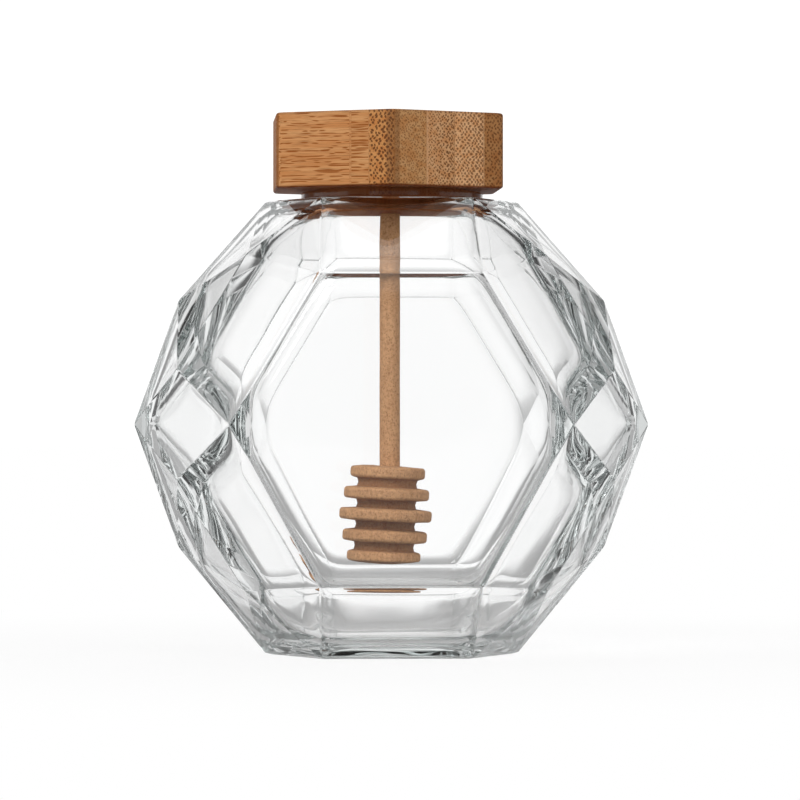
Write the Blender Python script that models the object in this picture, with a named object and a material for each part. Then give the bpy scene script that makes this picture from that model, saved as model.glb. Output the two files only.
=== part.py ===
"""A faceted glass honey jar with a hexagonal wooden stopper lid and a turned wooden dipper hanging from it.

Lengths are in metres and +Z is up. The jar stands on z = 0, and its wide six-sided pane faces -Y.
"""

import math

import bmesh
import bpy
from mathutils import Matrix, Vector

# The glass body: every corner below is mirrored in X and in Y.
WAIST_Z = 0.0500
SIDE_TIP_X = 0.05625
PANE_Y = 0.0429
PANE_WAIST_X = 0.0361
PANE_END_X = 0.0171
PANE_TOP_Z = 0.0818
PANE_LOW_Z = 0.0160
LOZENGE_X = 0.0469
LOZENGE_HALF_HEIGHT = 0.0119
RIDGE_X = 0.0464
RIDGE_TOP_Z = 0.0770
RIDGE_LOW_Z = 0.0233
KNUCKLE_TOP_X = 0.0321
KNUCKLE_TOP_Z = 0.0863
KNUCKLE_LOW_X = 0.0325
KNUCKLE_LOW_Z = 0.0146
SHOULDER_Z = 0.0986
END_TIP_X = 0.0273
END_CORNER_X = 0.0162
END_CORNER_Y = 0.0224
GLASS_EDGE_ROUNDING = 0.0005

# The glass wall, the thick floor, the round neck and the hollow under the base.
WALL = 0.0033
FLOOR = 0.0062
INSIDE_ROUNDING = 0.0030
NECK_RADIUS = 0.0202
BORE_RADIUS = 0.0175
NECK_TOP_Z = 0.1005
PUNT_RADIUS = 0.0165
PUNT_DEPTH = 0.0009

# The lid: a hexagonal block with a corner to the front and a round plug in the neck.
FIT_GAP = 0.0003
LID_BOTTOM_Z = NECK_TOP_Z + FIT_GAP
LID_TOP_Z = 0.1170
LID_ACROSS_FLATS = 0.0489
LID_CORNER_RADIUS = 0.0028
LID_EDGE_ROUNDING = 0.0007
LID_SHIFT_X = -0.0011
PLUG_RADIUS = BORE_RADIUS - FIT_GAP
PLUG_BOTTOM_Z = 0.0962
PLUG_EDGE_ROUNDING = 0.0005
SOCKET_TOP_Z = 0.1085

# The dipper: a stick held in the plug, and a grooved head set a little askew on its end.
STICK_RADIUS = 0.00223
STICK_X = -0.0005
HEAD_TOP_Z = 0.0410
HEAD_TOP_X = -0.0009
HEAD_LEAN = math.radians(2.8)
HEAD_CORE_RADIUS = 0.0066
RING_RADII = (0.0082, 0.0093, 0.0101, 0.0092, 0.0080)
RING_THICKNESS = 0.0029
GROOVE_WIDTH = 0.0017
RING_EDGE = 0.0005
HEAD_TIP_RADIUS = 0.0050

NECK_SIDES = 64
STICK_SIDES = 24
HEAD_SIDES = 40
CORNER_STEPS = 5


def clear_scene():
    for item in list(bpy.data.objects):
        bpy.data.objects.remove(item, do_unlink=True)


def add_object(name, bm, material=None):
    """Turns bm into an object of the scene, with outward normals."""
    bmesh.ops.recalc_face_normals(bm, faces=bm.faces)
    mesh = bpy.data.meshes.new(name)
    bm.to_mesh(mesh)
    bm.free()
    item = bpy.data.objects.new(name, mesh)
    bpy.context.scene.collection.objects.link(item)
    if material:
        mesh.materials.append(material)
    return item


def add_material(name, colour, roughness, transmission=0.0):
    material = bpy.data.materials.new(name)
    material.use_nodes = True
    shader = material.node_tree.nodes["Principled BSDF"]
    shader.inputs["Base Color"].default_value = (*colour, 1)
    shader.inputs["Roughness"].default_value = roughness
    shader.inputs["Metallic"].default_value = 0.0
    shader.inputs["Transmission Weight"].default_value = transmission
    return material


def boolean(item, other, operation):
    """Joins other to item, or cuts it away, and hides other as a helper."""
    modifier = item.modifiers.new(other.name, "BOOLEAN")
    modifier.operation = operation
    modifier.solver = "EXACT"
    modifier.object = other
    other.hide_render = True
    other.display_type = "WIRE"


def turned(profile, sides):
    """A closed bmesh turned about Z from (radius, z) points that start and end on the axis."""
    bm = bmesh.new()
    points = [bm.verts.new((radius, 0, z)) for radius, z in profile]
    edges = [bm.edges.new(pair) for pair in zip(points, points[1:])]
    bmesh.ops.spin(
        bm,
        geom=points + edges,
        cent=(0, 0, 0),
        axis=(0, 0, 1),
        angle=math.tau,
        steps=sides,
        use_merge=True,
    )
    bmesh.ops.remove_doubles(bm, verts=bm.verts, dist=1e-6)
    return bm


def lozenge_y():
    """Depth of the lozenge's upper and lower corners, which lie in its upright plane."""
    return PANE_Y * (SIDE_TIP_X - LOZENGE_X) / (SIDE_TIP_X - PANE_WAIST_X)


def knuckle(x, z, pane_end_z, lozenge_z):
    """The corner that closes the flat facet through the pane's edge and the lozenge's corner."""
    waist = Vector((PANE_WAIST_X, PANE_Y, WAIST_Z))
    pane_end = Vector((PANE_END_X, PANE_Y, pane_end_z))
    lozenge = Vector((LOZENGE_X, lozenge_y(), lozenge_z))
    normal = (pane_end - waist).cross(lozenge - waist)
    y = (normal.dot(waist) - normal.x * x - normal.z * z) / normal.y
    return (x, y, z)


def glass_corners():
    """The corners in the quarter where X and Y are positive or zero."""
    top = WAIST_Z + LOZENGE_HALF_HEIGHT
    low = WAIST_Z - LOZENGE_HALF_HEIGHT
    return [
        (SIDE_TIP_X, 0, WAIST_Z),
        (PANE_WAIST_X, PANE_Y, WAIST_Z),
        (PANE_END_X, PANE_Y, PANE_TOP_Z),
        (PANE_END_X, PANE_Y, PANE_LOW_Z),
        (LOZENGE_X, lozenge_y(), top),
        (LOZENGE_X, lozenge_y(), low),
        (RIDGE_X, 0, RIDGE_TOP_Z),
        (RIDGE_X, 0, RIDGE_LOW_Z),
        knuckle(KNUCKLE_TOP_X, KNUCKLE_TOP_Z, PANE_TOP_Z, top),
        knuckle(KNUCKLE_LOW_X, KNUCKLE_LOW_Z, PANE_LOW_Z, low),
        (END_TIP_X, 0, SHOULDER_Z),
        (END_CORNER_X, END_CORNER_Y, SHOULDER_Z),
        (END_TIP_X, 0, 0),
        (END_CORNER_X, END_CORNER_Y, 0),
    ]


def faceted_body():
    """The convex body through all the corners, with one face for each flat facet."""
    corners = {
        (side_x * x, side_y * y, z)
        for x, y, z in glass_corners()
        for side_x in (-1, 1)
        for side_y in (-1, 1)
    }
    bm = bmesh.new()
    for corner in sorted(corners):
        bm.verts.new(corner)
    bmesh.ops.remove_doubles(bm, verts=bm.verts, dist=1e-6)
    bmesh.ops.convex_hull(bm, input=bm.verts)
    bmesh.ops.dissolve_limit(
        bm, angle_limit=math.radians(1.5), verts=bm.verts, edges=bm.edges
    )
    bmesh.ops.recalc_face_normals(bm, faces=bm.faces)
    return bm


def inner_body(outer):
    """The hollow: a block cut by every facet of outer, each moved in by the wall or the floor."""
    bm = bmesh.new()
    bmesh.ops.create_cube(bm, size=4 * SIDE_TIP_X)
    for face in outer.faces:
        depth = FLOOR if face.normal.z < -0.9 else WALL
        bmesh.ops.bisect_plane(
            bm,
            geom=bm.verts[:] + bm.edges[:] + bm.faces[:],
            plane_co=face.calc_center_median() - face.normal * depth,
            plane_no=face.normal,
            clear_outer=True,
        )
        bmesh.ops.holes_fill(bm, edges=bm.edges)
    bmesh.ops.remove_doubles(bm, verts=bm.verts, dist=1e-5)
    bmesh.ops.dissolve_limit(
        bm, angle_limit=math.radians(1.0), verts=bm.verts, edges=bm.edges
    )
    return bm


def rounded(bm, width):
    """Rounds every edge of bm."""
    bmesh.ops.bevel(
        bm,
        geom=bm.edges[:],
        offset=width,
        segments=2,
        profile=0.5,
        affect="EDGES",
        clamp_overlap=True,
    )
    return bm


def make_jar(material):
    outer = faceted_body()
    hollow = add_object("jar_hollow", rounded(inner_body(outer), INSIDE_ROUNDING))
    jar = add_object("jar", rounded(outer, GLASS_EDGE_ROUNDING), material)
    neck_foot = SHOULDER_Z - WALL / 2
    neck = add_object(
        "jar_neck",
        turned(
            [
                (0, neck_foot),
                (NECK_RADIUS, neck_foot),
                (NECK_RADIUS, NECK_TOP_Z - LID_EDGE_ROUNDING),
                (NECK_RADIUS - LID_EDGE_ROUNDING, NECK_TOP_Z),
                (0, NECK_TOP_Z),
            ],
            NECK_SIDES,
        ),
    )
    bore_foot = SHOULDER_Z - 2 * WALL
    bore = add_object(
        "jar_bore",
        turned(
            [
                (0, bore_foot),
                (BORE_RADIUS, bore_foot),
                (BORE_RADIUS, LID_TOP_Z),
                (0, LID_TOP_Z),
            ],
            NECK_SIDES,
        ),
    )
    punt = add_object(
        "jar_punt",
        turned(
            [
                (0, -PUNT_DEPTH),
                (PUNT_RADIUS + PUNT_DEPTH, -PUNT_DEPTH),
                (PUNT_RADIUS - PUNT_DEPTH, PUNT_DEPTH),
                (0, PUNT_DEPTH),
            ],
            NECK_SIDES,
        ),
    )
    boolean(jar, neck, "UNION")
    boolean(jar, hollow, "DIFFERENCE")
    boolean(jar, bore, "DIFFERENCE")
    boolean(jar, punt, "DIFFERENCE")
    return jar


def hexagon_outline(across_flats, corner_radius):
    """The lid's outline, corner to the front, each corner an arc."""
    reach = (across_flats / 2 - corner_radius) / math.cos(math.pi / 6)
    outline = []
    for corner in range(6):
        middle = math.pi / 2 + corner * math.pi / 3
        centre = Vector((math.cos(middle), math.sin(middle))) * reach
        for step in range(CORNER_STEPS + 1):
            angle = middle + (step / CORNER_STEPS - 0.5) * math.pi / 3
            arc = Vector((math.cos(angle), math.sin(angle))) * corner_radius
            outline.append(centre + arc)
    return outline


def lid_block():
    bm = bmesh.new()
    outline = hexagon_outline(LID_ACROSS_FLATS, LID_CORNER_RADIUS)
    ring = [bm.verts.new((x + LID_SHIFT_X, y, LID_BOTTOM_Z)) for x, y in outline]
    base = bm.faces.new(ring)
    grown = bmesh.ops.extrude_face_region(bm, geom=[base])["geom"]
    raised = [item for item in grown if isinstance(item, bmesh.types.BMVert)]
    bmesh.ops.translate(bm, verts=raised, vec=(0, 0, LID_TOP_Z - LID_BOTTOM_Z))
    rims = [edge for edge in bm.edges if abs(edge.verts[0].co.z - edge.verts[1].co.z) < 1e-6]
    bmesh.ops.bevel(
        bm, geom=rims, offset=LID_EDGE_ROUNDING, segments=2, profile=0.5, affect="EDGES"
    )
    return bm


def make_lid(material):
    lid = add_object("lid", lid_block(), material)
    plug = add_object(
        "lid_plug",
        turned(
            [
                (0, PLUG_BOTTOM_Z),
                (PLUG_RADIUS - PLUG_EDGE_ROUNDING, PLUG_BOTTOM_Z),
                (PLUG_RADIUS, PLUG_BOTTOM_Z + PLUG_EDGE_ROUNDING),
                (PLUG_RADIUS, LID_BOTTOM_Z + LID_EDGE_ROUNDING),
                (0, LID_BOTTOM_Z + LID_EDGE_ROUNDING),
            ],
            NECK_SIDES,
        ),
    )
    socket = add_object(
        "lid_socket",
        turned(
            [
                (0, PLUG_BOTTOM_Z - FIT_GAP),
                (STICK_RADIUS + FIT_GAP, PLUG_BOTTOM_Z - FIT_GAP),
                (STICK_RADIUS + FIT_GAP, SOCKET_TOP_Z),
                (0, SOCKET_TOP_Z),
            ],
            STICK_SIDES,
        ),
    )
    socket.location.x = STICK_X
    boolean(lid, plug, "UNION")
    boolean(lid, socket, "DIFFERENCE")
    return lid


def head_profile():
    """(radius, z) down the outside of the grooved head, with z = 0 at its top."""
    points = [(0, 0)]
    z = 0
    for index, radius in enumerate(RING_RADII):
        if index:
            points += [(HEAD_CORE_RADIUS, z), (HEAD_CORE_RADIUS, z - GROOVE_WIDTH)]
            z -= GROOVE_WIDTH
        points.append((radius - RING_EDGE, z))
        points.append((radius, z - RING_EDGE))
        z -= RING_THICKNESS
        if index < len(RING_RADII) - 1:
            points.append((radius, z + RING_EDGE))
            points.append((radius - RING_EDGE, z))
    round_depth = RING_THICKNESS / 3
    points.append((RING_RADII[-1], z + 2 * round_depth))
    points.append((RING_RADII[-1] - RING_EDGE, z + round_depth))
    points.append((HEAD_TIP_RADIUS, z))
    points.append((0, z))
    return points


def make_dipper(material):
    stick_foot = HEAD_TOP_Z - RING_THICKNESS
    stick_top = SOCKET_TOP_Z - FIT_GAP
    dipper = add_object(
        "dipper",
        turned(
            [(0, stick_top), (STICK_RADIUS, stick_top), (STICK_RADIUS, stick_foot), (0, stick_foot)],
            STICK_SIDES,
        ),
        material,
    )
    dipper.location.x = STICK_X
    head = add_object("dipper_head", turned(head_profile(), HEAD_SIDES))
    place = Matrix.Translation((HEAD_TOP_X, 0, HEAD_TOP_Z))
    head.matrix_world = place @ Matrix.Rotation(HEAD_LEAN, 4, "Y")
    boolean(dipper, head, "UNION")
    return dipper


def main():
    clear_scene()
    glass = add_material("clear_glass", (0.90, 0.93, 0.92), 0.02, 1.0)
    bamboo = add_material("bamboo", (0.50, 0.26, 0.10), 0.45)
    beech = add_material("beech", (0.60, 0.40, 0.24), 0.55)
    for item in (make_jar(glass), make_lid(bamboo), make_dipper(beech)):
        item.data.shade_smooth()
        item.data.set_sharp_from_angle(angle=math.radians(30))


main()
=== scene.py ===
import math

import bpy
from bpy.props import FloatProperty, FloatVectorProperty, IntProperty, PointerProperty
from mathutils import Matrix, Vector


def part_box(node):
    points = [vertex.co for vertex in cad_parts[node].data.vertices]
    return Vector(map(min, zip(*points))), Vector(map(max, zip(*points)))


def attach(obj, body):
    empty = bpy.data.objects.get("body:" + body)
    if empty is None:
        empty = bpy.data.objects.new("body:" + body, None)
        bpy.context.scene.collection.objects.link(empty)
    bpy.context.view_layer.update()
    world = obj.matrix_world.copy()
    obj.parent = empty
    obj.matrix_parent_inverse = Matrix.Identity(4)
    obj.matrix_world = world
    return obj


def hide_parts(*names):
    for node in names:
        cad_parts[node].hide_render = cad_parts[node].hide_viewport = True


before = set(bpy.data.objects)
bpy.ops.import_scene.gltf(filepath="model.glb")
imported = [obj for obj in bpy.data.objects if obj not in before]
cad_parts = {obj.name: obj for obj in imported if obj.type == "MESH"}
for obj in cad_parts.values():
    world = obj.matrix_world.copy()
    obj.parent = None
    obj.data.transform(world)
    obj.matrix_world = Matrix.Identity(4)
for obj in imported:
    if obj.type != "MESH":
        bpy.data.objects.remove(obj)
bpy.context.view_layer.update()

bl_info = {
    "name": "Honey Jar with Dipper",
    "version": (1, 0, 0),
    "blender": (4, 5, 0),
    "location": "3D View > Sidebar > Honey Jar",
    "description": "Makes a faceted glass honey jar, its bamboo stopper lid and its turned dipper",
    "category": "Add Mesh",
}

JAR_TOP_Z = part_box("jar")[1].z
PLUG_LOW_Z, LID_TOP_Z = (corner.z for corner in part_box("lid"))
BODY = "root"
MM = 0.001

# Corners of the glass in the quarter where X and Y are positive or zero, in metres.
WAIST_Z = 0.0500
GLASS_CORNERS = {
    "tip": (0.0561, 0, WAIST_Z),
    "waist": (0.0361, 0.0429, WAIST_Z),
    "pane_top": (0.0171, 0.0429, 0.0818),
    "pane_low": (0.0171, 0.0429, 0.0160),
    "ridge_top": (0.0464, 0, 0.0770),
    "ridge_low": (0.0464, 0, 0.0233),
    "shoulder_tip": (0.0273, 0, 0.0986),
    "shoulder_corner": (0.0162, 0.0224, 0.0986),
    "base_tip": (0.0273, 0, 0),
    "base_corner": (0.0162, 0.0224, 0),
}

# The upper and lower corners of a lozenge, and (x, z) of a knuckle: the corner between a lozenge,
# the pane and the shoulder or base.
LOZENGE_X = 0.0469
LOZENGE_HALF_HEIGHT = 0.0119
KNUCKLE_TOP = (0.0321, 0.0863)
KNUCKLE_LOW = (0.0325, 0.0146)
SHOULDER_Z = GLASS_CORNERS["shoulder_tip"][2]

# Three corners of each facet between the lozenges, the panes and the flat plates, where {0} is top
# or low and {1} is the plate at that end: shoulder or base.
SIDE_FACETS = (
    ("tip", "lozenge_{0}", "ridge_{0}"),
    ("waist", "pane_{0}", "lozenge_{0}"),
    ("lozenge_{0}", "knuckle_{0}", "ridge_{0}"),
    ("knuckle_{0}", "{1}_tip", "ridge_{0}"),
    ("knuckle_{0}", "{1}_corner", "{1}_tip"),
    ("knuckle_{0}", "pane_{0}", "{1}_corner"),
)

# How the glass block is cut, welded and rounded.
BLOCK_SIZE = 300 * MM
MERGE = 0.001 * MM
WELD = 20 * MERGE
SAME_HEIGHT = 10 * MERGE
FLAT_ANGLE = math.radians(1)
ROUND_SEGMENTS = 6

# How squarely a facet faces down, or to the front or back, where it is the floor or a pane, and
# how far it faces sideways where the thicker sides begin and where they are thickest.
FLOOR_FACING = 0.9
PANE_FACING = 0.99
SIDE_FACING = (0.7, 0.9)

# How sharply the swells of the inside fade on the panes, and how much narrower than the bore the
# softened throat is.
PANE_FOCUS = 4
THROAT_GAP = 0.5 * MM

# The lid's block and plug, and the dipper, from the solids' sizes.
LID_ACROSS_FLATS = 0.0489
LID_SHIFT_X = -0.0011
LID_BOTTOM_Z = 0.1008
PLUG_RADIUS = 0.01753
SOCKET_RADIUS = 0.00253
SOCKET_TOP_Z = 0.1085
STICK_X = -0.0005
HEAD_TOP = (-0.0009, 0, 0.0410)
HEAD_LEAN = math.radians(2.8)
RING_RADII = (0.00815, 0.00925, 0.01005, 0.00920, 0.00800)
PLUG_EASE = 0.5 * MM
CORNER_SEGMENTS = 8
EDGE_SEGMENTS = 4

# The head past its rings: (share of the end ring's radius, distance) of the domed end and of the
# top, the share of the core that is flat on top, how much deeper a groove is at its middle, by how
# many degrees a ring's rim bends to either side, how far the stick stops short of its hole's end,
# and how large the turning's uneven places are.
HEAD_DOME = ((0.35, 0.6 * MM), (0.75, 0.1 * MM))
HEAD_CROWN = (0.7, 0.1 * MM)
CROWN_SHARE = 0.5
GROOVE_DIP = 0.25 * MM
RIM_BEND = 80
STICK_PLAY = 0.3 * MM
TURNING_SIZE = 3 * MM

# Sides of each turned shape, steps of a curve in its outline, and the angle past which an edge
# stays sharp.
SIDES = {"throat": 64, "neck": 128, "plug": 96, "socket": 32, "stick": 48, "head": 96}
CURVE_STEPS = 5
EASE_STEPS = 4
SHARP = {"jar": math.radians(30), "lid": math.radians(35), "dipper": math.radians(40)}

# The lid's upright strips from left to right, within LID_REACH of its middle: where each begins,
# its colour, the size of its fibre bundles at its left and right ends, how dark they are, how
# unevenly they lie and how many lie in a millimetre.
LID_REACH = 30 * MM
LID_STRIPS = (
    # The first strip covers the left corner; its darker colour is painted shade where that corner
    # turns from the light.
    (-30.0 * MM, (160, 108, 58), 0.29, 0.29, 0.90, 0.70, 1.15),
    (-24.0 * MM, (214, 156, 102), 0.24, 0.24, 0.95, 0.95, 1.80),
    (-8.9 * MM, (214, 158, 104), 0.27, 0.27, 0.85, 0.75, 1.30),
    (-5.0 * MM, (208, 146, 86), 0.30, 0.37, 0.85, 0.45, 1.02),
    (0.3 * MM, (188, 142, 94), 0.26, 0.30, 0.58, 0.70, 1.40),
    (7.5 * MM, (202, 155, 110), 0.24, 0.36, 0.78, 0.60, 1.32),
    (13.5 * MM, (218, 170, 124), 0.28, 0.42, 0.72, 0.25, 1.12),
    (20.0 * MM, (162, 114, 69), 0.30, 0.34, 0.70, 0.55, 1.15),
)

# More bundles in a millimetre than any strip has, the share of the reach between two strips'
# bundles, where the strips that show their fibres' length end, and the glue line on the right.
BUNDLES_MOST = 2.0
STRIP_END = 0.0005
LENGTHWISE_END = LID_STRIPS[3][0]
GLUE_LINE = LID_STRIPS[5][0]
GLUE_WIDTH = (0.1 * MM, 0.28 * MM)

# How far the bamboo's fibres are turned from X in the left strips and in the others, how often its
# grain repeats in a metre along and across them, how much less the bundles stray in height than in
# depth, how much higher those of an uneven strip lie, and how soft their edges are.
LENGTHWISE_TURN = math.radians(30)
ENDWISE_TURN = math.radians(90)
WANDER_GRAIN = (140, 420, 620)
WANDER_RISE = 0.35
FINE_GRAIN = (170, 4200, 4200)
BROAD_GRAIN = (45, 500, 700)
STRIP_RISE = 7.3 * MM
BUNDLE_SOFTNESS = 0.09

# Between which levels of their noise the broad clouds and the fine grain begin to show, and how
# much each shows at most.
CLOUD_SHOWS = (0.35, 0.7)
CLOUD_MOST = 0.5
FINE_SHOWS = (0.45, 0.72)
FINE_MOST = 0.65
GLUE_MOST = 0.55

# Where the lid is shaded, and how much at most: its upright corners by their distance from the
# middle and to the side, its top rim by the distance below the top, and its underside by the
# distance above it.
LID_CORNER_REACH = (27.3 * MM, 27.6 * MM)
LID_CORNER_WIDTH = (8 * MM, 16 * MM)
LID_RIM = (0.8 * MM, 0.2 * MM)
LID_RIM_MOST = 0.35
LID_UNDER = (0.1 * MM, 0.6 * MM)
LID_UNDER_MOST = 0.85

# How often the beech's streaks, pores, flecks and clouds repeat in a metre, between which levels
# each begins to show, and how much each shows at most.
STREAK_GRAIN = (1500, 1500, 160)
STREAK_SHOWS = (0.4, 0.75)
STREAK_MOST = 0.3
PORE_GRAIN = (2400, 2400, 1300)
PORE_SHOWS = (0.14, 0.36)
PORE_MOST = 0.5
FLECK_GRAIN = 1500
FLECK_SHOWS = (0.42, 0.72)
FLECK_MOST = 0.75
CLOUD_GRAIN = 170

# Painted shade at the foot of the grooves: its width, the height past the head's top where it ends,
# and how dark it is at most.
GROOVE_SHADE_WIDTH = 1.3 * MM
GROOVE_SHADE_TOP = (-1.5 * MM, -0.5 * MM)
GROOVE_SHADE_MOST = 0.6

# The light tent: how many panels stand round the jar, the levels of the wave between which a gap
# turns into a panel, how bright the gaps are, (height, brightness) from the horizon to straight
# above, how bright it is in all, and how far the bright band at eye level reaches up and down.
TENT_PANELS = 4
TENT_GAP = (-0.75, -0.25)
TENT_DARK = 0.05
TENT_HEIGHT = ((0.0, 1.0), (0.55, 1.0), (0.75, 0.85), (0.95, 1.0))
TENT_LEVEL = 1.1
EYE_BAND = 0.08

# Where the tent begins and ends to dim to a side, how bright it is left (-1) and right (1), and
# where its opening round the camera ends, with how bright that is.
TENT_SIDE = (0.1, 0.8)
TENT_SIDES = ((-1, 0.72), (1, 0.5))
OPENING_END = (-0.97, -0.85)
OPENING_LEVEL = 0.25

# The floor: its size, how far below the jar it lies, how much of what is seen of it near the jar
# is its own glow, the least brightness of that glow in the glass, its tones as seen and as it
# lights the jar, and the distances over which it glows fully, begins to glow in the glass and
# turns white there.
FLOOR_RADIUS = 8
FLOOR_SIDES = 96
FLOOR_GAP = 0.2 * MM
FLOOR_GLOW = 0.85
FLOOR_LEAST = 0.4
FLOOR_SHOWN_TONE = 0.92
FLOOR_LIGHT_TONE = 0.5
FLOOR_BRIGHTENS = (0.05, 0.25)
FLOOR_GLOWS = (0.1, 0.45)
FLOOR_WHITE = (0.45, 0.8)

KEY_PLACE = (-0.7, -0.9, 0.8)
FILL_PLACE = (0.9, -0.7, 0.4)
LIGHT_SIZE = 0.5
FILL_SHARE = 0.56
GLASS_BOUNCES = 24
CLEAR_BOUNCES = 16

# Where the jar's axis and the camera's eye level fall in the 800 pixel picture.
IMAGE_SIZE = 800
AXIS_COLUMN = 391.9
HORIZON_ROW = 418.0


def start_clean():
    """Leaves edit mode and deselects everything."""
    if bpy.context.object and bpy.context.object.mode != "OBJECT":
        bpy.ops.object.mode_set(mode="OBJECT")
    bpy.ops.object.select_all(action="DESELECT")


def choose(piece):
    """Selects piece alone, in object mode, and makes it active."""
    start_clean()
    piece.select_set(True)
    bpy.context.view_layer.objects.active = piece


def edit(piece, mode="FACE"):
    """Enters edit mode on piece alone, with everything in it selected."""
    choose(piece)
    bpy.ops.object.mode_set(mode="EDIT")
    bpy.ops.mesh.select_mode(type=mode)
    bpy.ops.mesh.select_all(action="SELECT")


def select_edges(piece, chosen):
    """Selects the edges of a piece in edit mode by the heights of their lower and upper ends."""
    bpy.ops.mesh.select_all(action="DESELECT")
    bpy.ops.object.mode_set(mode="OBJECT")
    for edge in piece.data.edges:
        low, high = sorted(piece.data.vertices[i].co.z for i in edge.vertices)
        edge.select = chosen(low, high)
    bpy.ops.object.mode_set(mode="EDIT")


def finish_modifier(piece, modifier):
    """Applies a modifier to the piece's mesh."""
    choose(piece)
    bpy.ops.object.modifier_apply(modifier=modifier.name)


def combine(piece, other, operation):
    """Joins other to piece, or cuts it away, and removes other."""
    modifier = piece.modifiers.new("combine", "BOOLEAN")
    modifier.operation = operation
    modifier.solver = "EXACT"
    modifier.object = other
    finish_modifier(piece, modifier)
    bpy.data.objects.remove(other)


def place_in_mesh(piece):
    """Moves the object's place into its mesh, so that the object sits at the origin."""
    choose(piece)
    bpy.ops.object.transform_apply(location=True, rotation=True, scale=True)


def flat_facets(piece, angle):
    """Smooth shading that leaves the flat facets flat and lets only the rounded edges bend."""
    choose(piece)
    bpy.ops.object.shade_smooth_by_angle(angle=angle)
    modifier = piece.modifiers.new("weighted", "WEIGHTED_NORMAL")
    modifier.mode = "FACE_AREA"
    modifier.weight = 100
    modifier.keep_sharp = True
    finish_modifier(piece, modifier)


def turn(name, profile, sides):
    """A closed solid raised from a disc by extruding and resizing along (radius, z) points."""
    start_clean()
    radius, z = profile[0]
    bpy.ops.mesh.primitive_circle_add(
        vertices=sides, radius=radius, fill_type="NGON", location=(0, 0, z)
    )
    piece = bpy.context.object
    piece.name = piece.data.name = name
    edit(piece)
    for next_radius, next_z in profile[1:]:
        bpy.ops.mesh.extrude_region_move(
            TRANSFORM_OT_translate={"value": (0, 0, next_z - z)}
        )
        grow = next_radius / radius
        bpy.ops.transform.resize(value=(grow, grow, 1))
        radius, z = next_radius, next_z
    bpy.ops.mesh.select_all(action="SELECT")
    bpy.ops.mesh.normals_make_consistent(inside=False)
    bpy.ops.object.mode_set(mode="OBJECT")
    place_in_mesh(piece)
    return piece


def arc(centre, radius, start, end, steps):
    """(radius, z) points on an arc, from angle start to end in degrees."""
    points = []
    for step in range(steps + 1):
        angle = math.radians(start + (end - start) * step / steps)
        points.append(
            (centre[0] + radius * math.cos(angle), centre[1] + radius * math.sin(angle))
        )
    return points


def glass_corners():
    """Every named corner in the quarter, with the lozenge's and the knuckles' worked out."""
    corners = {name: Vector(place) for name, place in GLASS_CORNERS.items()}
    tip = corners["tip"]
    waist = corners["waist"]
    lozenge_y = waist.y * (tip.x - LOZENGE_X) / (tip.x - waist.x)
    for end, side, (x, z) in (("top", 1, KNUCKLE_TOP), ("low", -1, KNUCKLE_LOW)):
        lozenge = Vector((LOZENGE_X, lozenge_y, WAIST_Z + side * LOZENGE_HALF_HEIGHT))
        normal = (corners["pane_" + end] - waist).cross(lozenge - waist)
        y = (normal.dot(waist) - normal.x * x - normal.z * z) / normal.y
        corners["lozenge_" + end] = lozenge
        corners["knuckle_" + end] = Vector((x, y, z))
    return corners


def facet_planes():
    """(point, outward normal) of every flat facet of the glass."""
    corners = glass_corners()
    facets = [("tip", "waist", "lozenge_top"), ("waist", "pane_top", "pane_low")]
    for end, plate in (("top", "shoulder"), ("low", "base")):
        facets += [tuple(n.format(end, plate) for n in facet) for facet in SIDE_FACETS]
    planes = {}
    middle = Vector((0, 0, WAIST_Z))
    for facet in facets:
        a, b, c = (corners[name] for name in facet)
        normal = (b - a).cross(c - a).normalized()
        if normal.dot(a - middle) < 0:
            normal.negate()
        for mirror in ((1, 1, 1), (-1, 1, 1), (1, -1, 1), (-1, -1, 1)):
            turned = Vector(n * m for n, m in zip(normal, mirror))
            point = Vector(p * m for p, m in zip(a, mirror))
            planes[tuple(round(n, 4) for n in turned)] = (point, turned)
    for plate, end in (("shoulder", "top"), ("base", "low")):
        corner = corners[plate + "_corner"]
        across = Vector((1, 0, 0)).cross(corner - corners["pane_" + end]).normalized()
        if across.y < 0:
            across.negate()
        for side in (-1, 1):
            point = Vector((corner.x, side * corner.y, corner.z))
            planes[plate, side] = (point, Vector((0, side * across.y, across.z)))
        up = Vector((0, 0, 1 if end == "top" else -1))
        planes[plate] = (corner, up)
    return list(planes.values())


def cut_block(name, planes):
    """A block cut by every plane, as a glass mould is ground facet by facet."""
    start_clean()
    bpy.ops.mesh.primitive_cube_add(size=BLOCK_SIZE, location=(0, 0, WAIST_Z))
    piece = bpy.context.object
    piece.name = piece.data.name = name
    place_in_mesh(piece)
    edit(piece)
    for point, normal in planes:
        bpy.ops.mesh.select_all(action="SELECT")
        bpy.ops.mesh.bisect(
            plane_co=point,
            plane_no=normal,
            use_fill=True,
            clear_outer=True,
            clear_inner=False,
            threshold=MERGE,
        )
    bpy.ops.mesh.select_all(action="SELECT")
    bpy.ops.mesh.remove_doubles(threshold=WELD)
    bpy.ops.mesh.dissolve_limited(angle_limit=FLAT_ANGLE)
    bpy.ops.mesh.normals_make_consistent(inside=False)
    return piece


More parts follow.
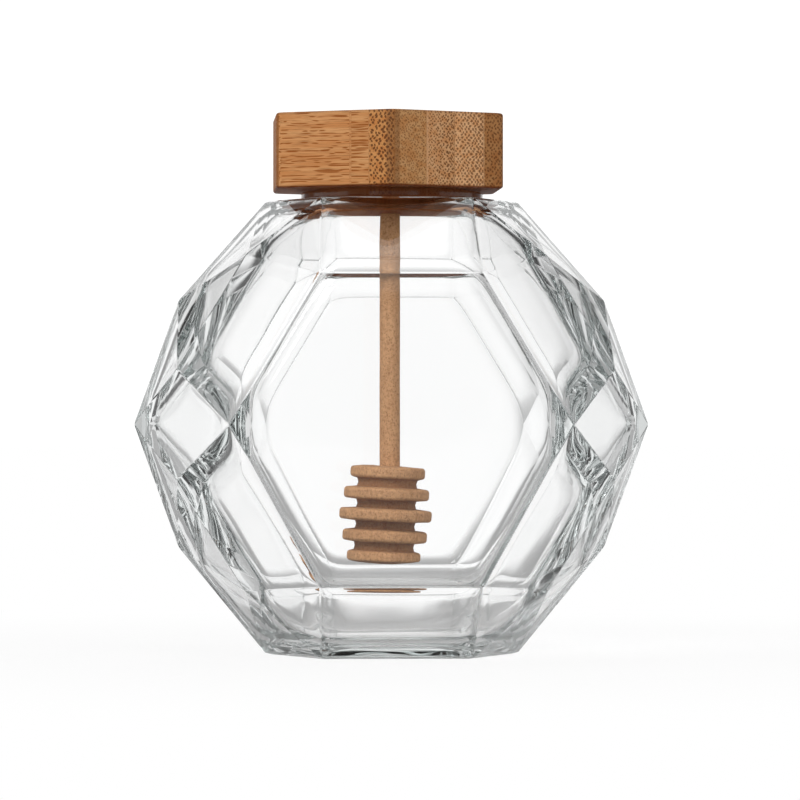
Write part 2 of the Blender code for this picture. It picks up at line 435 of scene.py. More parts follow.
def round_facets(piece, looks):
    """Rounds the edges of a block that is in edit mode, most round its base, then its shoulder."""
    slight = looks.outer_rounding / looks.base_rounding
    more = looks.shoulder_rounding / looks.base_rounding - slight
    bpy.ops.mesh.select_mode(type="EDGE")
    bpy.ops.mesh.select_all(action="SELECT")
    bpy.ops.transform.edge_bevelweight(value=slight)
    select_edges(piece, lambda low, high: high < SAME_HEIGHT)
    bpy.ops.transform.edge_bevelweight(value=1 - slight)
    select_edges(piece, lambda low, high: low > SHOULDER_Z - SAME_HEIGHT)
    bpy.ops.transform.edge_bevelweight(value=more)
    bpy.ops.object.mode_set(mode="OBJECT")
    modifier = piece.modifiers.new("round", "BEVEL")
    modifier.width = looks.base_rounding
    modifier.segments = ROUND_SEGMENTS
    modifier.limit_method = "WEIGHT"
    modifier.use_clamp_overlap = False
    finish_modifier(piece, modifier)


def eased(share):
    """The share, kept between 0 and 1, with a gentle start and end."""
    share = min(max(share, 0), 1)
    return share * share * (3 - 2 * share)


def melt(piece, looks):
    """Softens a block into the smooth inside of pressed glass, thick where facets meet."""
    modifier = piece.modifiers.new("even", "REMESH")
    modifier.mode = "VOXEL"
    modifier.voxel_size = looks.melt_grid
    finish_modifier(piece, modifier)
    for name, rounds in (("whole", looks.melt_rounds), ("rim", looks.rim_rounds)):
        softened = piece.vertex_groups.new(name=name)
        for vertex in piece.data.vertices:
            beyond = (abs(vertex.co.x) - looks.side_start) / looks.side_fade
            below = (looks.low_start - vertex.co.z) / looks.low_fade
            above = (vertex.co.z - looks.high_start) / looks.high_fade
            share = eased(max(beyond, below, above)) if name == "rim" else 1
            softened.add([vertex.index], share, "REPLACE")
        modifier = piece.modifiers.new(name, "SMOOTH")
        modifier.factor = 0.5
        modifier.iterations = rounds
        modifier.vertex_group = name
        finish_modifier(piece, modifier)
    uneven = piece.vertex_groups.new(name="uneven")
    for vertex in piece.data.vertices:
        share = max(looks.pane_swell, 1 - abs(vertex.normal.y) ** PANE_FOCUS)
        uneven.add([vertex.index], share, "REPLACE")
    swell = bpy.data.textures.new("swell", "CLOUDS")
    swell.noise_scale = looks.swell_size
    swell.noise_depth = 1
    modifier = piece.modifiers.new("swell", "DISPLACE")
    modifier.vertex_group = uneven.name
    modifier.texture = swell
    modifier.texture_coords = "LOCAL"
    modifier.mid_level = 0.5
    modifier.strength = looks.swell_depth
    finish_modifier(piece, modifier)


class NodeDesk:
    """Adds and links the shader nodes of one node tree."""

    def __init__(self, tree):
        self.tree = tree

    def add(self, kind, inputs=None, **settings):
        node = self.tree.nodes.new(kind)
        for key, value in settings.items():
            setattr(node, key, value)
        for key, value in (inputs or {}).items():
            if isinstance(value, bpy.types.NodeSocket):
                self.tree.links.new(value, node.inputs[key])
            else:
                node.inputs[key].default_value = value
        return node

    def link(self, source, target):
        self.tree.links.new(source, target)

    def object_place(self, turn=(0, 0, 0), shift=(0, 0, 0)):
        place = self.add("ShaderNodeTexCoord").outputs["Object"]
        return self.add(
            "ShaderNodeMapping", {"Vector": place, "Rotation": turn, "Location": shift}
        ).outputs[0]

    def math(self, operation, first, second=0.0, clamp=False):
        node = self.add(
            "ShaderNodeMath", {0: first, 1: second}, operation=operation, use_clamp=clamp
        )
        return node.outputs[0]

    def scaled(self, place, scale):
        node = self.add("ShaderNodeVectorMath", {0: place, 1: scale}, operation="MULTIPLY")
        return node.outputs[0]

    def ramp(self, factor, *stops, interpolation="LINEAR"):
        node = self.add("ShaderNodeValToRGB", {"Fac": factor})
        node.color_ramp.interpolation = interpolation
        elements = node.color_ramp.elements
        while len(elements) < len(stops):
            elements.new(0.5)
        for element, (position, colour) in zip(elements, stops):
            element.position = position
            element.color = colour if len(colour) == 4 else opaque(colour)
        return node.outputs["Color"]

    def span(self, value, limits, levels=(0.0, 1.0)):
        """Eases from the first level to the second while value crosses the limits."""
        return self.add(
            "ShaderNodeMapRange",
            {
                "Value": value,
                "From Min": limits[0],
                "From Max": limits[1],
                "To Min": levels[0],
                "To Max": levels[1],
            },
            interpolation_type="SMOOTHSTEP",
        ).outputs[0]

    def noise(self, place, scale=1.0, detail=3.0, roughness=0.5):
        return self.add(
            "ShaderNodeTexNoise",
            {"Vector": place, "Scale": scale, "Detail": detail, "Roughness": roughness},
        ).outputs["Fac"]

    def mix(self, factor, first, second, blend="MIX"):
        node = self.add(
            "ShaderNodeMix", {0: factor, 6: first, 7: second}, data_type="RGBA", blend_type=blend
        )
        return node.outputs[2]

    def bump(self, height, strength, distance):
        inputs = {"Height": height, "Strength": strength, "Distance": distance}
        return self.add("ShaderNodeBump", inputs).outputs[0]


class FinishDesk(NodeDesk):
    """Holds a new material as well, with its shader and output."""

    def __init__(self, name):
        self.material = bpy.data.materials.new(name)
        self.material.use_nodes = True
        super().__init__(self.material.node_tree)
        self.shader = self.tree.nodes["Principled BSDF"]
        self.output = self.tree.nodes["Material Output"]

    def set(self, **values):
        for key, value in values.items():
            self.shader.inputs[key.replace("_", " ")].default_value = value


def linear(colour):
    """Linear colour from the sRGB colour seen in daylight, each part from 0 to 255."""
    parts = []
    for part in colour:
        part = part / 255
        parts.append(part / 12.92 if part <= 0.04045 else ((part + 0.055) / 1.055) ** 2.4)
    return tuple(parts)


def opaque(colour):
    return (*colour, 1)


def wood_colour(name, description, daylight):
    """A colour that a user can change, given as it looks in daylight."""
    return FloatVectorProperty(
        name=name, description=description, subtype="COLOR", default=linear(daylight)
    )


def clear_glass(looks):
    """Smooth glass that takes on a faint green-grey where it is thick."""
    desk = FinishDesk("clear_glass")
    desk.set(Base_Color=opaque(looks.tint), Roughness=0.0, IOR=1.5, Transmission_Weight=1.0)
    depth = desk.add(
        "ShaderNodeVolumeAbsorption",
        {"Color": opaque(looks.depth_colour), "Density": looks.depth_density},
    )
    desk.link(depth.outputs[0], desk.output.inputs["Volume"])
    return desk.material


def strip_ramps(desk, across):
    """The strip's colour at a place across the lid, and its bundles' size, darkness and spread."""
    reach = 2 * LID_REACH
    place = desk.math("DIVIDE", desk.math("ADD", across, LID_REACH), reach)
    colours = []
    bundles = []
    ends = [start for start, *_ in LID_STRIPS[1:]] + [LID_REACH]
    for (start, colour, small, large, dark, uneven, close), end in zip(LID_STRIPS, ends):
        first = (start + LID_REACH) / reach
        last = (end + LID_REACH) / reach - STRIP_END
        colours.append((first, linear(colour)))
        bundles.append((first, (small, dark, uneven, close / BUNDLES_MOST)))
        bundles.append((last, (large, dark, uneven, close / BUNDLES_MOST)))
    colour = desk.ramp(place, *colours, interpolation="CONSTANT")
    bundle = desk.ramp(place, *bundles)
    close = desk.math("MULTIPLY", bundle.node.outputs["Alpha"], BUNDLES_MOST / MM)
    return colour, desk.add("ShaderNodeSeparateColor", {0: bundle}).outputs, close


def bamboo(looks):
    """Laminated bamboo: upright strips, most seen end on, and those at the left along the grain."""
    desk = FinishDesk("bamboo")
    plain = desk.object_place(shift=(-LID_SHIFT_X, 0, 0))
    parts = desk.add("ShaderNodeSeparateXYZ", {0: plain}).outputs
    colour, bundle, close = strip_ramps(desk, parts["X"])

    # Along the fibres is X here: they run with the front left side in the left strips, and from
    # front to back in the others.
    at_left = desk.math("LESS_THAN", parts["X"], LENGTHWISE_END)
    lengthwise = desk.object_place(turn=(0, 0, LENGTHWISE_TURN))
    endwise = desk.object_place(turn=(0, 0, ENDWISE_TURN))
    fibres = desk.mix(at_left, endwise, lengthwise)
    wander_place = desk.scaled(fibres, WANDER_GRAIN)
    wander = desk.add("ShaderNodeTexNoise", {"Vector": wander_place, "Scale": 1.0, "Detail": 1.0})
    wander = desk.add(
        "ShaderNodeVectorMath",
        {0: wander.outputs["Color"], 1: (0.5, 0.5, 0.5)},
        operation="SUBTRACT",
    ).outputs[0]
    wander = desk.scaled(wander, (0, looks.wander, looks.wander * WANDER_RISE))
    moved = desk.add("ShaderNodeVectorMath", {0: fibres, 1: wander}, operation="ADD").outputs[0]
    cross = desk.add("ShaderNodeSeparateXYZ", {0: moved}).outputs
    depth = cross["Y"]
    height = desk.math("ADD", cross["Z"], desk.math("MULTIPLY", bundle["Blue"], STRIP_RISE))
    rise = desk.math("MULTIPLY", height, looks.bundle_shape)
    section = desk.add(
        "ShaderNodeCombineXYZ",
        {"X": desk.math("ADD", depth, rise), "Y": desk.math("SUBTRACT", rise, depth)},
    ).outputs[0]
    cells = desk.add(
        "ShaderNodeTexVoronoi",
        {"Vector": section, "Scale": close, "Randomness": bundle["Blue"]},
        voronoi_dimensions="2D",
    ).outputs["Distance"]
    inner = desk.math("SUBTRACT", bundle["Red"], BUNDLE_SOFTNESS)
    outer = desk.math("ADD", bundle["Red"], BUNDLE_SOFTNESS)
    dot = desk.span(cells, (inner, outer), (1.0, 0.0))

    fine = desk.noise(desk.scaled(fibres, FINE_GRAIN), roughness=0.6)
    broad = desk.noise(desk.scaled(fibres, BROAD_GRAIN), detail=2.0)
    warm = desk.span(broad, CLOUD_SHOWS, (0.0, CLOUD_MOST))
    deeper = desk.mix(1.0, colour, opaque(looks.warm_colour), "MULTIPLY")
    colour = desk.mix(warm, colour, deeper)
    grain = desk.span(fine, FINE_SHOWS, (0.0, FINE_MOST))
    colour = desk.mix(grain, colour, opaque(looks.grain_colour))
    dot_colour = desk.mix(at_left, opaque(looks.endwise_colour), opaque(looks.lengthwise_colour))
    colour = desk.mix(desk.math("MULTIPLY", dot, bundle["Green"]), colour, dot_colour)

    glue = desk.math("ABSOLUTE", desk.math("SUBTRACT", parts["X"], GLUE_LINE))
    glue = desk.span(glue, GLUE_WIDTH, (GLUE_MOST, 0.0))
    colour = desk.mix(glue, colour, opaque(looks.glue_colour))
    flat = desk.scaled(plain, (1, 1, 0))
    reach = desk.add("ShaderNodeVectorMath", {0: flat}, operation="LENGTH").outputs["Value"]
    # Painted shade: the upright front and back corners and the top rim are darkened towards the edge
    # colour.
    corner = desk.span(reach, LID_CORNER_REACH, (0.0, looks.corner_shade))
    sideways = desk.math("ABSOLUTE", parts["X"])
    corner = desk.math("MULTIPLY", corner, desk.span(sideways, LID_CORNER_WIDTH, (1.0, 0.0)))
    rim_limits = [LID_TOP_Z - below for below in LID_RIM]
    rim = desk.span(parts["Z"], rim_limits, (0.0, LID_RIM_MOST))
    # Painted shade: the underside and the plug, which sit in the lid's shadow, are darkened towards
    # the under colour.
    under_limits = [LID_BOTTOM_Z + above for above in LID_UNDER]
    under = desk.span(parts["Z"], under_limits, (LID_UNDER_MOST, 0.0))
    shade = desk.math("MAXIMUM", corner, rim)
    colour = desk.mix(shade, colour, opaque(looks.edge_colour))
    colour = desk.mix(under, colour, opaque(looks.under_colour))
    desk.link(colour, desk.shader.inputs["Base Color"])
    desk.set(Roughness=0.6, Specular_IOR_Level=0.15)
    height = desk.math("SUBTRACT", desk.math("MULTIPLY", fine, 0.5), desk.math("MULTIPLY", dot, 0.6))
    relief = desk.bump(height, strength=0.4, distance=0.1 * MM)
    desk.link(relief, desk.shader.inputs["Normal"])
    return desk.material


def beech(looks):
    """Plain light brown wood with fine pores, and painted shade at the foot of the grooves."""
    desk = FinishDesk("beech")
    place = desk.object_place()
    streaks = desk.noise(desk.scaled(place, STREAK_GRAIN), roughness=0.6)
    pores = desk.add(
        "ShaderNodeTexVoronoi",
        {"Vector": desk.scaled(place, PORE_GRAIN), "Scale": 1.0, "Randomness": 1.0},
    ).outputs["Distance"]
    pore = desk.span(pores, PORE_SHOWS, (1.0, 0.0))
    flecks = desk.noise(place, FLECK_GRAIN, detail=4.0, roughness=0.8)
    cloud = desk.noise(place, CLOUD_GRAIN)
    colour = desk.mix(cloud, opaque(looks.dark_colour), opaque(looks.light_colour))
    streak = desk.span(streaks, STREAK_SHOWS, (0.0, STREAK_MOST))
    colour = desk.mix(streak, colour, opaque(looks.streak_colour))
    fleck = desk.span(flecks, FLECK_SHOWS, (0.0, FLECK_MOST))
    colour = desk.mix(fleck, colour, opaque(looks.fleck_colour))
    colour = desk.mix(desk.math("MULTIPLY", pore, PORE_MOST), colour, opaque(looks.pore_colour))

    head_place = desk.object_place(shift=-Vector(HEAD_TOP))
    head_place = desk.add(
        "ShaderNodeVectorRotate",
        {"Vector": head_place, "Angle": -HEAD_LEAN},
        rotation_type="Y_AXIS",
    ).outputs[0]
    out = desk.add(
        "ShaderNodeVectorMath", {0: desk.scaled(head_place, (1, 1, 0))}, operation="LENGTH"
    ).outputs["Value"]
    below = desk.add("ShaderNodeSeparateXYZ", {0: head_place}).outputs["Z"]
    # Painted shade: the wood near the core, in the grooves below the head's top, is darkened.
    groove_shade_limits = (looks.core_radius, looks.core_radius + GROOVE_SHADE_WIDTH)
    foot = desk.span(out, groove_shade_limits, (GROOVE_SHADE_MOST, 0.0))
    foot = desk.math("MULTIPLY", foot, desk.span(below, GROOVE_SHADE_TOP, (1.0, 0.0)))
    colour = desk.mix(foot, colour, opaque(looks.foot_colour))
    desk.link(colour, desk.shader.inputs["Base Color"])
    desk.set(Roughness=0.7, Specular_IOR_Level=0.15)
    height = desk.math("SUBTRACT", flecks, desk.math("MULTIPLY", pore, 0.7))
    relief = desk.bump(height, strength=0.6, distance=0.12 * MM)
    desk.link(relief, desk.shader.inputs["Normal"])
    return desk.material


def dress(piece, material, node):
    """Gives piece its finish, and lets it stand for its node on the one body."""
    piece.data.materials.clear()
    piece.data.materials.append(material)
    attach(piece, BODY)
    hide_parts(node)


class GlassLooks(bpy.types.PropertyGroup):
    wall: FloatProperty(
        name="Wall", description="Thickness of the panes", default=0.0030, unit="LENGTH"
    )
    facet_wall: FloatProperty(
        name="Facet Wall",
        description="Thickness of the other facets, which keeps the panes' edges light",
        default=0.00235,
        unit="LENGTH",
    )
    side_wall: FloatProperty(
        name="Side Wall",
        description="How much thicker the glass is at the far left and right",
        default=0.0030,
        unit="LENGTH",
    )
    low_wall: FloatProperty(
        name="Low Wall",
        description="How much thicker the facets that face down are",
        default=0.0005,
        unit="LENGTH",
    )
    floor: FloatProperty(
        name="Floor", description="Thickness of the base", default=0.0045, unit="LENGTH"
    )
    outer_rounding: FloatProperty(
        name="Outer Rounding",
        description="Width of the rounded edge between two facets",
        default=0.0003,
        unit="LENGTH",
    )
    base_rounding: FloatProperty(
        name="Base Rounding", description="Radius round the base", default=0.0014, unit="LENGTH"
    )
    shoulder_rounding: FloatProperty(
        name="Shoulder Rounding",
        description="Radius round the shoulder",
        default=0.0010,
        unit="LENGTH",
    )
    melt_grid: FloatProperty(
        name="Inside Grid",
        description="Spacing of the points inside",
        default=0.0010,
        unit="LENGTH",
    )
    melt_rounds: IntProperty(
        name="Inside Softness", description="Rounds of smoothing of the inside", default=30
    )
    rim_rounds: IntProperty(
        name="Rim Softness", description="More rounds at sides, floor and top", default=60
    )
    side_start: FloatProperty(
        name="Side Start", description="Distance of the softer sides", default=0.022, unit="LENGTH"
    )
    side_fade: FloatProperty(
        name="Side Fade", description="Width over which they begin", default=0.022, unit="LENGTH"
    )
    high_start: FloatProperty(
        name="Top Start", description="Height of the softer top", default=0.025, unit="LENGTH"
    )
    high_fade: FloatProperty(
        name="Top Fade", description="Height over which it begins", default=0.030, unit="LENGTH"
    )
    low_start: FloatProperty(
        name="Floor Start", description="Height of the softer floor", default=0.013, unit="LENGTH"
    )
    low_fade: FloatProperty(
        name="Floor Fade", description="Height over which it begins", default=0.005, unit="LENGTH"
    )
    swell_size: FloatProperty(
        name="Swell Size", description="Size of the slow swells inside", default=0.020, unit="LENGTH"
    )
    pane_swell: FloatProperty(
        name="Pane Swell",
        description="Share of the swell that the front and back keep",
        default=0.15,
    )
    swell_depth: FloatProperty(
        name="Swell Depth",
        description="Depth of the slow swells inside",
        default=0.0003,
        unit="LENGTH",
    )
    neck_radius: FloatProperty(
        name="Neck", description="Outer radius of the neck", default=0.0198, unit="LENGTH"
    )
    bore_radius: FloatProperty(
        name="Bore", description="Inner radius of the neck", default=0.0175, unit="LENGTH"
    )
    neck_curve: FloatProperty(
        name="Neck Curve",
        description="Radius of the curves at the neck's foot and rim",
        default=0.0006,
        unit="LENGTH",
    )
    punt_radius: FloatProperty(
        name="Base Hollow",
        description="Radius of the shallow hollow under the base",
        default=0.0165,
        unit="LENGTH",
    )
    punt_depth: FloatProperty(
        name="Base Hollow Depth",
        description="Depth of the hollow under the base",
        default=0.0009,
        unit="LENGTH",
    )
    tint: FloatVectorProperty(
        name="Tint", description="Colour of the surface", subtype="COLOR", default=(1, 1, 1)
    )
    depth_colour: FloatVectorProperty(
        name="Depth Colour",
        description="Colour that thick glass takes on",
        subtype="COLOR",
        default=(0.42, 0.53, 0.515),
    )
    depth_density: FloatProperty(
        name="Depth Density", description="How fast the colour builds up", default=6.0
    )


class LidLooks(bpy.types.PropertyGroup):
    corner_radius: FloatProperty(
        name="Corner", description="Radius of the upright corners", default=0.0028, unit="LENGTH"
    )
    edge_radius: FloatProperty(
        name="Edge", description="Radius of the eased rims", default=0.0006, unit="LENGTH"
    )
    bundle_shape: FloatProperty(
        name="Bundle Shape", description="Width of a fibre bundle over its height", default=0.75
    )
    wander: FloatProperty(
        name="Wander",
        description="How far a fibre bundle strays from straight",
        default=0.0014,
        unit="LENGTH",
    )
    corner_shade: FloatProperty(
        name="Corner Shade", description="How dark the upright corners are", default=0.5
    )
    endwise_colour: wood_colour(
        "Bundle Ends", "Colour of the fibre bundles that are seen end on", (82, 44, 16)
    )
    lengthwise_colour: wood_colour(
        "Bundle Sides", "Colour of the fibre bundles that are seen along the grain", (148, 80, 26)
    )
    grain_colour: wood_colour("Grain", "Colour of the fine grain", (142, 92, 50))
    warm_colour: wood_colour(
        "Clouds", "Colour that multiplies the wood in its broad warm clouds", (222, 178, 118)
    )
    glue_colour: wood_colour("Glue", "Colour of the glue line on the right", (206, 158, 116))
    # Colour of the painted shade on the upright corners and the top rim.
    edge_colour: wood_colour("Edges", "Colour of the corners and the top rim", (100, 62, 34))
    # Colour of the painted shade on the underside and the plug.
    under_colour: wood_colour("Underside", "Colour of the underside and the plug", (112, 48, 8))


class DipperLooks(bpy.types.PropertyGroup):
    stick_radius: FloatProperty(
        name="Stick", description="Radius of the stick", default=0.00223, unit="LENGTH"
    )
    core_radius: FloatProperty(
        name="Core", description="Radius at the foot of a groove", default=0.0066, unit="LENGTH"
    )
    ring_thickness: FloatProperty(
        name="Ring", description="Thickness of a ring", default=0.0029, unit="LENGTH"
    )
    rim_thickness: FloatProperty(
        name="Ring Rim", description="Thickness of a ring at its rim", default=0.0024, unit="LENGTH"
    )
    ring_edge: FloatProperty(
        name="Ring Edge", description="Radius of a ring's eased edges", default=0.0007, unit="LENGTH"
    )
    groove_width: FloatProperty(
        name="Groove", description="Height of a groove", default=0.0017, unit="LENGTH"
    )
    wobble: FloatProperty(
        name="Wobble", description="How uneven the turning is", default=0.0003, unit="LENGTH"
    )
    dark_colour: wood_colour(
        "Dark Clouds", "Colour of the wood where it is darkest", (186, 139, 96)
    )
    light_colour: wood_colour(
        "Light Clouds", "Colour of the wood where it is lightest", (208, 163, 121)
    )
    streak_colour: wood_colour("Streaks", "Colour of the fine streaks up the stick", (132, 86, 50))
    fleck_colour: wood_colour("Flecks", "Colour of the fine flecks", (134, 90, 56))
    pore_colour: wood_colour("Pores", "Colour of the pores", (104, 66, 38))
    # Colour of the painted shade at the foot of the grooves.
    foot_colour: wood_colour("Groove Foot", "Colour at the foot of the grooves", (104, 58, 24))


class StudioLooks(bpy.types.PropertyGroup):
    camera_distance: FloatProperty(
        name="Distance", description="Camera to the jar's axis", default=1.045, unit="LENGTH"
    )
    camera_height: FloatProperty(
        name="Height", description="Camera above the table", default=0.0514, unit="LENGTH"
    )
    camera_side: FloatProperty(
        name="Side",
        description="Camera's turn to the left",
        default=math.radians(2.8),
        unit="ROTATION",
    )
    lens: FloatProperty(name="Lens", description="Focal length in millimetres", default=216)
    key_power: FloatProperty(name="Key", description="Key light", default=6.9, unit="POWER")


class HONEYJAR_OT_glass(bpy.types.Operator):
    """Make the faceted glass jar"""

    bl_idname = "honeyjar.glass"
    bl_label = "Glass Jar"

    def neck_profile(self, looks):
        """(radius, z) up the neck, from a small hollow curve on the shoulder to the round rim."""
        curve = looks.neck_curve
        foot = arc((looks.neck_radius + curve, SHOULDER_Z + curve), curve, 270, 180, CURVE_STEPS)
        rim = arc((looks.neck_radius - curve, JAR_TOP_Z - curve), curve, 0, 90, CURVE_STEPS)
        return [(looks.neck_radius + curve, SHOULDER_Z - looks.wall / 2)] + foot + rim

    def punt_profile(self, looks):
        """(radius, z) up the shallow hollow that is cut from under the base."""
        curve = looks.punt_depth
        roof = arc((looks.punt_radius - 2 * curve, 0), curve, 30, 90, EASE_STEPS)
        return [(looks.punt_radius + curve, -curve), (looks.punt_radius, 0)] + roof

    def inner_depth(self, normal, looks):
        """How far behind a facet the hollow's own facet lies."""
        if normal.z < -FLOOR_FACING:
            return looks.floor
        if abs(normal.y) > PANE_FACING:
            return looks.wall
        start, end = SIDE_FACING
        sideways = min(max((abs(normal.x) - start) / (end - start), 0), 1)
        down = max(-normal.z, 0)
        return looks.facet_wall + sideways * looks.side_wall + down * looks.low_wall

    def execute(self, context):
        looks = context.scene.honeyjar_glass
        planes = facet_planes()
        jar = cut_block("glass_jar", planes)
        round_facets(jar, looks)
        inner = [
            (point - normal * self.inner_depth(normal, looks), normal) for point, normal in planes
        ]
        hollow = cut_block("jar_hollow", inner)
        bpy.ops.object.mode_set(mode="OBJECT")
        throat_radius = looks.bore_radius - THROAT_GAP
        throat = turn(
            "jar_throat",
            [(throat_radius, WAIST_Z), (throat_radius, JAR_TOP_Z)],
            SIDES["throat"],
        )
        combine(hollow, throat, "UNION")
        melt(hollow, looks)
        neck = turn("jar_neck", self.neck_profile(looks), SIDES["neck"])
        bore = turn(
            "jar_bore",
            [
                (looks.bore_radius, SHOULDER_Z - 2 * looks.wall),
                (looks.bore_radius, JAR_TOP_Z + looks.wall),
            ],
            SIDES["neck"],
        )
        punt = turn("jar_punt", self.punt_profile(looks), SIDES["neck"])
        combine(jar, neck, "UNION")
        for cutter in (hollow, bore, punt):
            combine(jar, cutter, "DIFFERENCE")
        flat_facets(jar, SHARP["jar"])
        dress(jar, clear_glass(looks), "jar")
        jar.visible_shadow = False
        return {"FINISHED"}


class HONEYJAR_OT_lid(bpy.types.Operator):
    """Make the bamboo stopper lid"""

    bl_idname = "honeyjar.lid"
    bl_label = "Stopper Lid"

    def execute(self, context):
        looks = context.scene.honeyjar_lid
        start_clean()
        bpy.ops.mesh.primitive_cylinder_add(
            vertices=6,
            radius=LID_ACROSS_FLATS / 2 / math.cos(math.pi / 6),
            depth=LID_TOP_Z - LID_BOTTOM_Z,
            location=(LID_SHIFT_X, 0, (LID_TOP_Z + LID_BOTTOM_Z) / 2),
        )
        lid = context.object
        lid.name = lid.data.name = "bamboo_lid"
        place_in_mesh(lid)
        edit(lid, "EDGE")
        select_edges(lid, lambda low, high: high - low > looks.corner_radius)
        bpy.ops.mesh.bevel(
            offset=looks.corner_radius * math.tan(math.pi / 6),
            segments=CORNER_SEGMENTS,
            profile=0.5,
            affect="EDGES",
        )
        select_edges(lid, lambda low, high: high - low < MERGE)
        bpy.ops.mesh.bevel(
            offset=looks.edge_radius, segments=EDGE_SEGMENTS, profile=0.5, affect="EDGES"
        )
        bpy.ops.object.mode_set(mode="OBJECT")
        ease_middle = (PLUG_RADIUS - PLUG_EASE, PLUG_LOW_Z + PLUG_EASE)
        plug = turn(
            "lid_plug",
            [(PLUG_RADIUS - PLUG_EASE, PLUG_LOW_Z)]
            + arc(ease_middle, PLUG_EASE, -60, 0, EASE_STEPS)
            + [(PLUG_RADIUS, LID_BOTTOM_Z + PLUG_EASE)],
            SIDES["plug"],
        )
        socket = turn(
            "lid_socket",
            [(SOCKET_RADIUS, PLUG_LOW_Z - PLUG_EASE), (SOCKET_RADIUS, SOCKET_TOP_Z)],
            SIDES["socket"],
        )
        socket.location.x = STICK_X
        combine(lid, plug, "UNION")
        combine(lid, socket, "DIFFERENCE")
        flat_facets(lid, SHARP["lid"])
        dress(lid, bamboo(looks), "lid")
        return {"FINISHED"}


class HONEYJAR_OT_dipper(bpy.types.Operator):
    """Make the turned dipper"""

    bl_idname = "honeyjar.dipper"
    bl_label = "Dipper"

    def head_profile(self, looks):
        """(radius, z) up the outside of the head, from its domed end to its flat top."""
        edge = looks.ring_edge
        pitch = looks.ring_thickness + looks.groove_width
        flank = (looks.ring_thickness - looks.rim_thickness) / 2
        depth = len(RING_RADII) * pitch - looks.groove_width
        points = [(RING_RADII[-1] * share, -depth - below) for share, below in HEAD_DOME]
        for index in range(len(RING_RADII) - 1, -1, -1):
            radius = RING_RADII[index]
            top = -index * pitch
            low = top - looks.ring_thickness
            if index < len(RING_RADII) - 1:
                points.append((looks.core_radius, low))
            points += arc((radius - edge, low + flank + edge), edge, -RIM_BEND, 0, EASE_STEPS)
            points += arc((radius - edge, top - flank - edge), edge, 0, RIM_BEND, EASE_STEPS)
            if index:
                points.append((looks.core_radius, top))
                points.append((looks.core_radius - GROOVE_DIP, top + looks.groove_width / 2))
        crown_share, crown_below = HEAD_CROWN
        points.append((RING_RADII[0] * crown_share, -crown_below))
        points.append((looks.core_radius * CROWN_SHARE, 0))
        return points

    def wobble(self, dipper, looks):
        """Makes the turned faces a little uneven, as a real one's are."""
        uneven = bpy.data.textures.new("turning", "CLOUDS")
        uneven.noise_scale = TURNING_SIZE
        uneven.noise_depth = 2
        modifier = dipper.modifiers.new("turning", "DISPLACE")
        modifier.texture = uneven
        modifier.texture_coords = "LOCAL"
        modifier.mid_level = 0.5
        modifier.strength = looks.wobble
        finish_modifier(dipper, modifier)

    def execute(self, context):
        looks = context.scene.honeyjar_dipper
        stick_low = HEAD_TOP[2] - looks.ring_thickness
        stick_high = SOCKET_TOP_Z - STICK_PLAY
        dipper = turn(
            "beech_dipper",
            [(looks.stick_radius, stick_low), (looks.stick_radius, stick_high)],
            SIDES["stick"],
        )
        dipper.location.x = STICK_X
        place_in_mesh(dipper)
        head = turn("dipper_head", self.head_profile(looks), SIDES["head"])
        head.location = HEAD_TOP
        head.rotation_euler.y = HEAD_LEAN
        place_in_mesh(head)
        combine(dipper, head, "UNION")
        self.wobble(dipper, looks)
        flat_facets(dipper, SHARP["dipper"])
        dress(dipper, beech(looks), "dipper")
        return {"FINISHED"}


